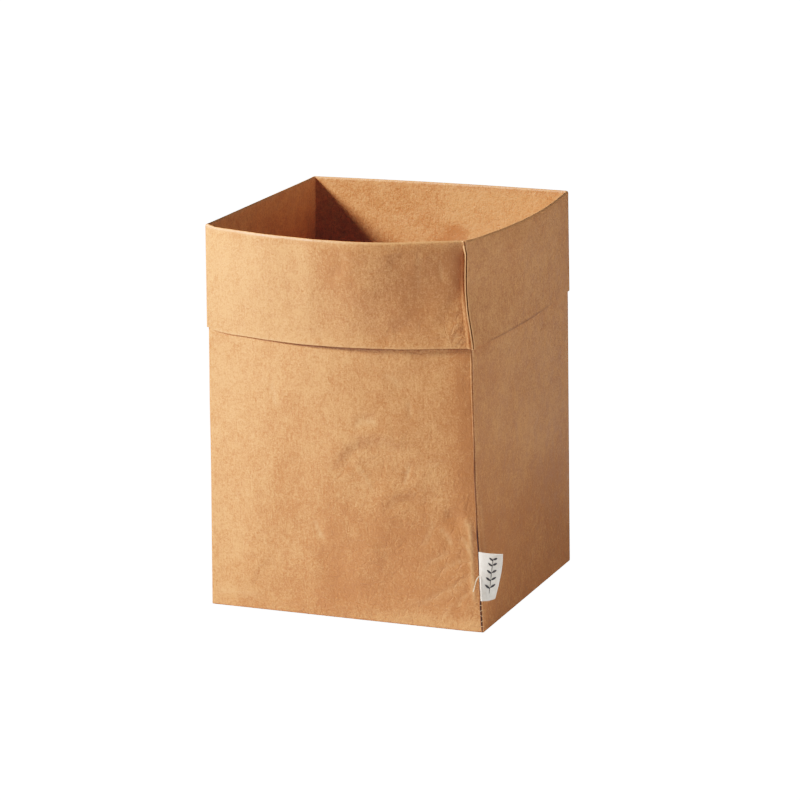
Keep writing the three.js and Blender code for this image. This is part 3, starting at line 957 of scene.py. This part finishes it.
def kraft_paper():
    finish = Finish("kraft_paper")
    clouds, blots = finish.noise(34, 3, 0.55), finish.noise(7.5, 3, 0.6, distortion=0.4)
    speckle, dust = finish.noise(1.5, 2, 0.7), finish.noise(0.7, 1, 0.6)
    fibres = finish.noise(1.0, 3, 0.6, vector=finish.stretched(1.1, 0.16))
    # The paper's random mottling, plus the patches painted lighter or darker, most of them painted light and
    # shade.
    shade = finish.total(
        (clouds, 0.9), (blots, 1.3), (speckle, 1.7), (dust, 2.0), (fibres, 1.1), (1.0, -3.0),
        (finish.attribute("painted_light_and_tone"), 1.0),
    )
    colour = finish.blend(finish.range(shade, 0.0, 1.0), KRAFT_DARK, KRAFT_LIGHT)
    # Paler where the paper is scuffed on folds and creases, and painted highlights along the rim and the cuff's
    # lower edge.
    patchy = finish.range(finish.noise(2.2, 3, 0.7), 0.3, 0.75, 0.25, 0.9)
    colour = finish.blend(finish.math("MULTIPLY", finish.attribute("paleness"), patchy), colour, KRAFT_WORN_AND_HIGHLIT)
    # Painted shade in the narrow gaps.
    colour = finish.blend(finish.attribute("gap_shade"), colour, KRAFT_PAINTED_SHADE)
    finish.surface(colour, finish.range(blots, 0.3, 0.7, 0.46, 0.6))

    place = finish.coordinates.outputs["Object"]
    wander = finish.add("TexNoise", {"Vector": place, "Scale": 140, "Detail": 3}).outputs["Color"]
    warped = finish.add("VectorMath", {0: wander, 1: (0.006,) * 3, 2: place}, operation="MULTIPLY_ADD")
    wide, fine = (finish.cells(warped.outputs[0], *cell) for cell in ((6.5, 0.075), (2.9, 0.14)))
    crinkled = finish.math("MULTIPLY", finish.total((wide, 0.13), (fine, 0.06)), finish.attribute("crumpled"))
    finish.bump(
        (crinkled, 1.0), (wide, 0.012), (finish.noise(4.5, 3, 0.6), 0.32), (speckle, 0.19), (dust, 0.06),
        (fibres, 0.08),
    )
    return finish.material


def raw_edge():
    finish = Finish("kraft_raw_edge")
    fuzz = finish.noise(0.7, 3, 0.7)
    finish.surface(finish.blend(fuzz, RAW_DARK, RAW_LIGHT), 0.9)
    finish.bump((fuzz, 0.12))
    return finish.material


def sewing_thread(name, colour):
    finish = Finish(name)
    twist = finish.noise(0.35, 2, 0.6)
    darker = tuple(c * 0.7 for c in colour[:3]) + (1,)
    finish.surface(finish.blend(twist, darker, colour), 0.75)
    finish.bump((twist, 0.05))
    return finish.material


def label_tape():
    finish = Finish("label_tape")
    flat = finish.add("SeparateXYZ", {"Vector": finish.coordinates.outputs["UV"]}).outputs
    ribs, ends = (
        finish.math("SINE", finish.math("MULTIPLY", flat[axis], 2 * math.pi / pitch))
        for axis, pitch in (("Y", 0.32), ("X", 0.42))
    )
    tint = finish.range(finish.total((finish.noise(3, 2), 0.6), (finish.noise(0.5, 2), 0.4)), 0.3, 0.7)
    finish.surface(finish.blend(tint, TAPE_DARK, TAPE_LIGHT), 0.85)
    finish.bump((finish.math("MULTIPLY", ribs, ends), 0.03), (ribs, 0.02), (finish.noise(2.5, 2), 0.12))
    return finish.material


def print_ink():
    finish = Finish("label_ink")
    finish.surface(finish.blend(finish.noise(0.6, 2), INK_DARK, INK_LIGHT), 0.7)
    return finish.material


# ---- Pieces ----


def paper_bag():
    points, looks = shaped_sheet()
    bag, columns, rows = flat_grid("kraft_bag", COUNT[1], COUNT[0])
    move_points(bag, points[rows, columns])
    lay_out(bag, *sheet_places(), columns, rows)
    for name, amounts in looks.items():
        layer = bag.data.attributes.new(name, "FLOAT", "POINT")
        layer.data.foreach_set("value", amounts[rows, columns].astype(np.float32))
    in_edit_mode(bag, weld(0.02), face_out)
    bag.data.materials.append(kraft_paper())
    bag.data.materials.append(raw_edge())
    apply_modifier(
        bag, "SOLIDIFY", thickness=PAPER * MM, offset=0, use_even_offset=False,
        use_rim=True, material_offset_rim=1,
    )
    soft_shading(bag, 50)
    return bag


def seam_place(z, far, aside=0.0, turn=GROOVE_TURN):
    """A point by the sewn corner: how far out in a direction, and how far to the side."""
    cx, cy = corner("frontRight", z, 0)
    facing = math.radians(turn)
    return Vector((
        cx + math.sin(facing) * far + math.cos(facing) * aside,
        cy - math.cos(facing) * far + math.sin(facing) * aside,
        z,
    ))


def stitch(start, end, thickness):
    """One short thread with rounded ends, between two points."""
    way = end - start
    piece = add_piece(
        bpy.ops.mesh.primitive_uv_sphere_add, "stitch", segments=8, ring_count=6, radius=thickness * MM / 2
    )
    half = way.length * MM / 2
    for vertex in piece.data.vertices:
        vertex.co.z *= 1.6
        if abs(vertex.co.z) > 1e-6:
            vertex.co.z += math.copysign(half, vertex.co.z)
    turned = way.to_track_quat("Z", "Y").to_matrix().to_4x4()
    piece.matrix_world = Matrix.Translation((start + end) / 2 * MM) @ turned
    return piece


STITCH_PITCH, STITCH_LENGTH, STITCHES = 2.8, 2, 67
BRIDGE_FOOT, BRIDGES = 3.4, 5  # the lowest thread that shows across the groove, and how many do


def seam_stitches():
    """The seam's thread: bridges across the groove outside, and a line on each side of the allowance."""
    made = []
    for i in range(BRIDGES):
        z, tilt = BRIDGE_FOOT + i * STITCH_PITCH, 0.25 * math.sin(i * 2.4)
        far = SEAM_CORNER_LOW - 0.35
        made.append(stitch(seam_place(z - tilt, far, -0.5), seam_place(z + tilt, far, 0.5), 0.3))
    far, aside = SEAM_CORNER_LOW - PAPER / 2 - LIP_LOW - 1.2, LAYER_ROOT + PAPER / 2 + 0.1
    for i in range(STITCHES):
        z = 8 + i * STITCH_PITCH
        for way in (-aside, aside):
            made.append(stitch(seam_place(z, far, way), seam_place(z + STITCH_LENGTH, far, way), 0.34))
    thread = made[0]
    join_into(thread, made[1:])
    thread.name = thread.data.name = "seam_thread"
    fix_place(thread)
    soft_shading(thread, 60)
    thread.data.materials.append(sewing_thread("seam_thread", SEAM_THREAD))
    return thread


LOOSE_END = [
    (73.2, -73.4, 31), (73.9, -76.7, 30.6), (73.1, -77.6, 29.6), (72.4, -78, 28.4), (71.9, -78.2, 26.1),
    (71.4, -78.3, 23.9), (70.9, -78.2, 22),
]


def loose_thread():
    """The sewing thread's end, which hangs out of the seam over the front's edge."""
    bpy.ops.object.select_all(action="DESELECT")
    bpy.ops.curve.primitive_nurbs_path_add()
    line = bpy.context.object
    line.name = line.data.name = "loose_thread"
    spline = line.data.splines[0]
    spline.points.add(len(LOOSE_END) - len(spline.points))
    for point, place in zip(spline.points, LOOSE_END):
        point.co = (*(Vector(place) * MM), 1)
    spline.order_u, spline.use_endpoint_u, spline.resolution_u = 4, True, 6
    line.data.bevel_depth, line.data.bevel_resolution, line.data.use_fill_caps = 0.2 * MM, 2, True
    bpy.ops.object.convert(target="MESH")
    thread = bpy.context.object
    fix_place(thread)
    in_edit_mode(thread, face_out)
    soft_shading(thread, 60)
    thread.data.materials.append(sewing_thread("loose_thread", LOOSE_THREAD))
    return thread


LABEL_WIDTH_HIGH, LABEL_WIDTH_LOW, LABEL_HEIGHT, LABEL_FOOT = 12, 8.6, 25.5, 17
LABEL_TURN_LOW, LABEL_TURN_HIGH, LABEL_CURL = 58, 2, 1.1
LABEL_STEPS, LABEL_WIDTH_FLAT = 26, 11  # rows of its mesh, and the width that its weave is laid out by
LABEL_START, LABEL_OUT = 1.7, 53  # how far from the corner the label's width begins, and in which direction
TAPE, TAPE_APART, TAPE_WAVE = 0.32, 0.2, 0.05  # thickness, half distance between its layers, waviness
INK_RAISED = 0.03


def label_place(along, share, aside):
    """A point of the label: millimetres out of the seam, share of its height, and to the side of its middle."""
    z = LABEL_FOOT + share * LABEL_HEIGHT
    width = mix(LABEL_WIDTH_LOW, LABEL_WIDTH_HIGH, share)
    turn = math.radians(mix(LABEL_TURN_LOW, LABEL_TURN_HIGH, share))
    across = along / width
    aside = aside - LABEL_CURL * math.sin(math.pi * min(max(across, 0), 1))
    start = seam_place(z, LABEL_START, turn=LABEL_OUT)
    if along < 0:  # the part that is caught in the seam
        turn = math.radians(GROOVE_TURN - 90)
    return (
        start.x + math.cos(turn) * along - math.sin(turn) * aside,
        start.y + math.sin(turn) * along + math.cos(turn) * aside,
        z,
    )


def tape_section(width):
    """The folded tape seen from above: out along one layer, round the fold and back along the other."""
    reach = [-1.9, -1.0, 0.0] + [width * k / 13 for k in range(1, 13)]
    turns = np.linspace(-math.pi / 2, math.pi / 2, 7)
    bend = [(width - 0.28 + 0.28 * math.cos(a), TAPE_APART * math.sin(a)) for a in turns]
    front = [(a, -TAPE_APART - TAPE_WAVE * math.sin(a)) for a in reach]
    return front + bend + [(a, TAPE_APART) for a in reversed(reach)]


def cloth_label():
    def place(column, row):
        share = row / LABEL_STEPS
        along, aside = tape_section(mix(LABEL_WIDTH_LOW, LABEL_WIDTH_HIGH, share))[column]
        return label_place(along, share, aside)

    section = np.array(tape_section(LABEL_WIDTH_FLAT))
    label, columns, rows = shaped_grid("label_tape", len(section), LABEL_STEPS + 1, place)
    flat = np.concatenate([[0], np.cumsum(np.hypot(*np.diff(section, axis=0).T))])
    lay_out(label, flat, np.linspace(0, LABEL_HEIGHT, LABEL_STEPS + 1), columns, rows)
    in_edit_mode(label, face_out)
    label.data.materials.append(label_tape())
    apply_modifier(label, "SOLIDIFY", thickness=TAPE * MM, offset=0, use_even_offset=True, use_rim=True)
    soft_shading(label, 50)
    return label


def sprig_leaf(name, x, share, length, width, lean):
    """A pointed leaf lying on the label's front, as a little raised print."""

    def place(column, row):
        k, t = column / 2 - 1, row / 8
        a, b = k * (width / 2 * math.sin(math.pi * t) ** 0.75), t * length
        along = x + a * math.cos(lean) - b * math.sin(lean)
        up = share + (a * math.sin(lean) + b * math.cos(lean)) / LABEL_HEIGHT
        raised = -TAPE_APART - TAPE / 2 - TAPE_WAVE * math.sin(along) - INK_RAISED
        return label_place(along, up, raised)

    return shaped_grid(name, 5, 9, place)[0]


def label_print():
    """A plain sprig of leaves printed up the middle of the label."""
    leaves = []
    stem = [(3.6, 0.14), (4.3, 0.3), (4.9, 0.46), (5.5, 0.62), (6.3, 0.78), (7.0, 0.9)]
    for i, ((ax, ay), (bx, by)) in enumerate(zip(stem[:-1], stem[1:])):
        rise = (by - ay) * LABEL_HEIGHT
        length, lean = math.hypot(bx - ax, rise) + 0.8, -math.atan2(bx - ax, rise)
        leaves.append(sprig_leaf(f"stem_{i}", ax, ay - 0.012, length, 0.42, lean))
    for i, (x, y) in enumerate(stem[1:]):
        size = 3.6 - 0.25 * i
        leaves.append(sprig_leaf(f"leaf_left_{i}", x - 0.1, y - 0.05, size, 1.25, 0.8))
        leaves.append(sprig_leaf(f"leaf_right_{i}", x + 0.1, y - 0.03, size, 1.25, -1.05))
    sprig = leaves[0]
    join_into(sprig, leaves[1:])
    sprig.name = sprig.data.name = "label_sprig"
    in_edit_mode(sprig, weld(0.004))
    sprig.data.materials.append(print_ink())
    apply_modifier(sprig, "SOLIDIFY", thickness=0.06 * MM, offset=0)
    return sprig


# ---- Studio ----


def softbox(name, turn, rise, distance, size, power, colour):
    """A square light that looks at the bag from a direction. Distance and size are in metres."""
    away = direction(turn, rise)
    bpy.ops.object.light_add(type="AREA", location=Vector((0, 0, 0.12)) + away * distance)
    light = bpy.context.object
    light.name = light.data.name = name
    light.rotation_euler = away.to_track_quat("Z", "Y").to_euler()
    light.data.shape, light.data.size = "SQUARE", size
    light.data.energy, light.data.color = power, colour
    return light


FILM_WHITE, FILM_CONTRAST, FILM_VEIL = 2.5, 1.3, 0.005  # the light that gives white, contrast, stray light


def film_response():
    """A camera's response, which rounds off the highlights and holds colour in the shadows."""
    view = bpy.context.scene.view_settings
    view.view_transform, view.look, view.exposure, view.gamma = "Standard", "None", 0, 1
    view.use_curve_mapping = True
    view.curve_mapping.white_level = (FILM_WHITE,) * 3
    curve = view.curve_mapping.curves[3]
    curve.points[0].location = (0, FILM_VEIL)
    for light in (0.02, 0.05, 0.1, 0.17, 0.26, 0.4, 0.6, 0.85, 1.15, 1.5, 1.9):
        answer = mix(FILM_VEIL, 1, ((1 + 1 / FILM_WHITE) * light / (1 + light)) ** FILM_CONTRAST)
        curve.points.new(light / FILM_WHITE, answer)
    view.curve_mapping.update()


def studio():
    floor = add_piece(bpy.ops.mesh.primitive_plane_add, "studio_floor", size=14, location=(0, 0, 0))
    finish = Finish("studio_floor")
    finish.surface((0.8, 0.8, 0.79, 1), 0.9)
    finish.put(finish.shader.inputs["Specular IOR Level"], 0.1)
    shown = finish.seen_as(finish.shader, finish.add("Emission", {"Strength": FILM_WHITE * 1.05}))
    finish.put(finish.tree.nodes["Material Output"].inputs["Surface"], shown)
    floor.data.materials.append(finish.material)

    softbox("key_light", -55, 34.2, 1.2, 0.22, 41.5, (1, 0.95, 0.96))
    softbox("fill_light", 84, 6, 1.4, 0.6, 11.8, (0.95, 0.96, 1))

    world = bpy.context.scene.world or bpy.data.worlds.new("studio_world")
    bpy.context.scene.world = world
    world.use_nodes = True
    world.node_tree.nodes.clear()
    around = Nodes(world.node_tree)
    up = around.add("SeparateXYZ", {0: around.add("TexCoord").outputs["Generated"]}).outputs["Z"]
    glow = around.range(up, -0.25, 0.35, 0.0, 0.13)
    sky = around.add("Background", {"Strength": glow, "Color": (0.35, 0.65, 1, 1)})
    backdrop = around.add("Background", {"Strength": FILM_WHITE * 1.05, "Color": (1, 1, 1, 1)})
    around.add("OutputWorld", {"Surface": around.seen_as(sky, backdrop)})
    film_response()


add_camera()
studio()

bag = paper_bag()
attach(bag, "root")
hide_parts("paper_bag")

label = cloth_label()
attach(label, "root")
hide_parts("cloth_label")

sprig = label_print()
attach(sprig, "root")

for thread in (seam_stitches(), loose_thread()):
    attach(thread, "root")
